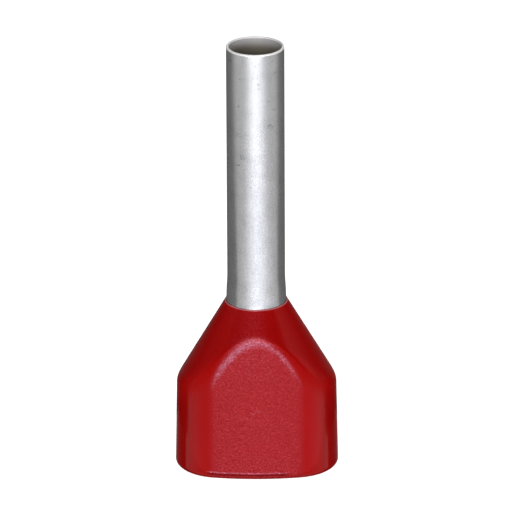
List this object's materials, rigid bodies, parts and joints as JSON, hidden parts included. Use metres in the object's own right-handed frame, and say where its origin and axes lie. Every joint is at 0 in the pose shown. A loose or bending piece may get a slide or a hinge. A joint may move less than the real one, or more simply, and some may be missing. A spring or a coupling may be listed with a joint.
{
  "type": "twin-wire insulated ferrule",
  "caption": "Insulated twin wire ferrule: an oval moulded collar for two wires side by side, tapering through a cone to a thin round crimp tube.",
  "frame": {"origin": "centre of the collar's open rim, on the plane it stands on", "axes": "+Z from the collar's open rim along the tube to its tip, +X across the collar's wider side, +Y across its narrower side"},
  "size_m": [0.006, 0.0036, 0.0166],
  "materials": {
    "tinned_copper": "satin tin plate on soft copper, finely mottled",
    "red_plastic": "moulded red polypropylene, finely grained on its faces"
  },
  "bodies": {
    "root": {"tin_plated_tube": "tinned_copper", "insulating_collar": "red_plastic"}
  },
  "joints": []
}
